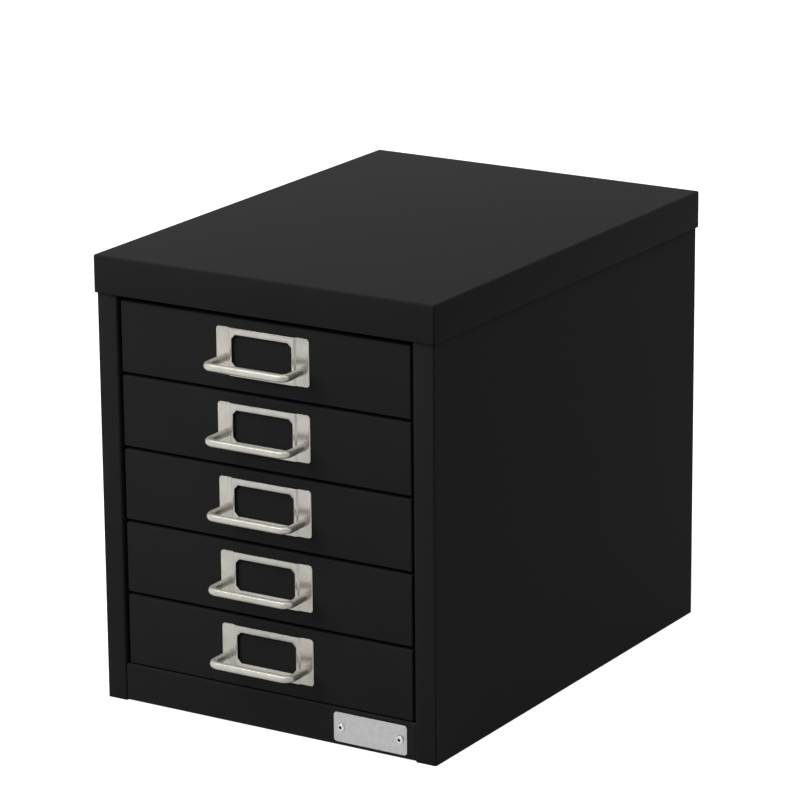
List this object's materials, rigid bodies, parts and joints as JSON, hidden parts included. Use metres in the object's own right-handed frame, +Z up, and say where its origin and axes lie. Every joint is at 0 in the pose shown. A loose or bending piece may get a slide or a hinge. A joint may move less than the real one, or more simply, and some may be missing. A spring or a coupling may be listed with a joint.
{
  "type": "desktop drawer cabinet",
  "caption": "Desktop cabinet of folded sheet steel with shallow stacked drawers on angle runners, each with a windowed label holder and a bent rod pull.",
  "frame": {"origin": "on the floor, at the centre of the outline seen from above, pulls included", "axes": "+Z up, -Y towards the front that the drawers slide out of, +X to the right seen from the front"},
  "size_m": [0.28, 0.4042, 0.33],
  "materials": {
    "cap_coat": "black powder coat, satin",
    "carcass_coat": "black powder coat, satin",
    "inner_coat": "black powder coat, satin, inside faces",
    "front_coat": "black powder coat, satin",
    "tray_coat": "black powder coat, satin",
    "holder_nickel": "bright nickel plate",
    "pull_nickel": "bright nickel plate",
    "screw_zinc": "bright zinc plate",
    "nameplate_alloy": "brushed, blank",
    "rivet_alloy": "bright"
  },
  "bodies": {
    "cabinet": {"top_cap": "cap_coat", "left_side_panel": "carcass_coat", "right_side_panel": "carcass_coat", "back_panel": "carcass_coat", "base_panel": "inner_coat", "plinth_rail": "carcass_coat", "header_rail": "inner_coat", "nameplate": "nameplate_alloy", "nameplate_rivets": "rivet_alloy", "top_guide_left": "inner_coat", "runner_left_1": "inner_coat", "runner_left_2": "inner_coat", "runner_left_3": "inner_coat", "runner_left_4": "inner_coat", "runner_left_5": "inner_coat", "top_guide_right": "inner_coat", "runner_right_1": "inner_coat", "runner_right_2": "inner_coat", "runner_right_3": "inner_coat", "runner_right_4": "inner_coat", "runner_right_5": "inner_coat"},
    "drawer_1": {"drawer_front_1": "front_coat", "drawer_tray_1": "tray_coat", "label_holder_1": "holder_nickel", "pull_bar_1": "pull_nickel", "pull_screws_1": "screw_zinc"},
    "drawer_2": {"drawer_front_2": "front_coat", "drawer_tray_2": "tray_coat", "label_holder_2": "holder_nickel", "pull_bar_2": "pull_nickel", "pull_screws_2": "screw_zinc"},
    "drawer_3": {"drawer_front_3": "front_coat", "drawer_tray_3": "tray_coat", "label_holder_3": "holder_nickel", "pull_bar_3": "pull_nickel", "pull_screws_3": "screw_zinc"},
    "drawer_4": {"drawer_front_4": "front_coat", "drawer_tray_4": "tray_coat", "label_holder_4": "holder_nickel", "pull_bar_4": "pull_nickel", "pull_screws_4": "screw_zinc"},
    "drawer_5": {"drawer_front_5": "front_coat", "drawer_tray_5": "tray_coat", "label_holder_5": "holder_nickel", "pull_bar_5": "pull_nickel", "pull_screws_5": "screw_zinc"}
  },
  "joints": [
    {"name": "drawer_1_slide", "type": "slide", "parent": "cabinet", "child": "drawer_1", "axis": [0, -1, 0], "range_m": [0, 0.26]},
    {"name": "drawer_2_slide", "type": "slide", "parent": "cabinet", "child": "drawer_2", "axis": [0, -1, 0], "range_m": [0, 0.26]},
    {"name": "drawer_3_slide", "type": "slide", "parent": "cabinet", "child": "drawer_3", "axis": [0, -1, 0], "range_m": [0, 0.26]},
    {"name": "drawer_4_slide", "type": "slide", "parent": "cabinet", "child": "drawer_4", "axis": [0, -1, 0], "range_m": [0, 0.26]},
    {"name": "drawer_5_slide", "type": "slide", "parent": "cabinet", "child": "drawer_5", "axis": [0, -1, 0], "range_m": [0, 0.26]}
  ]
}
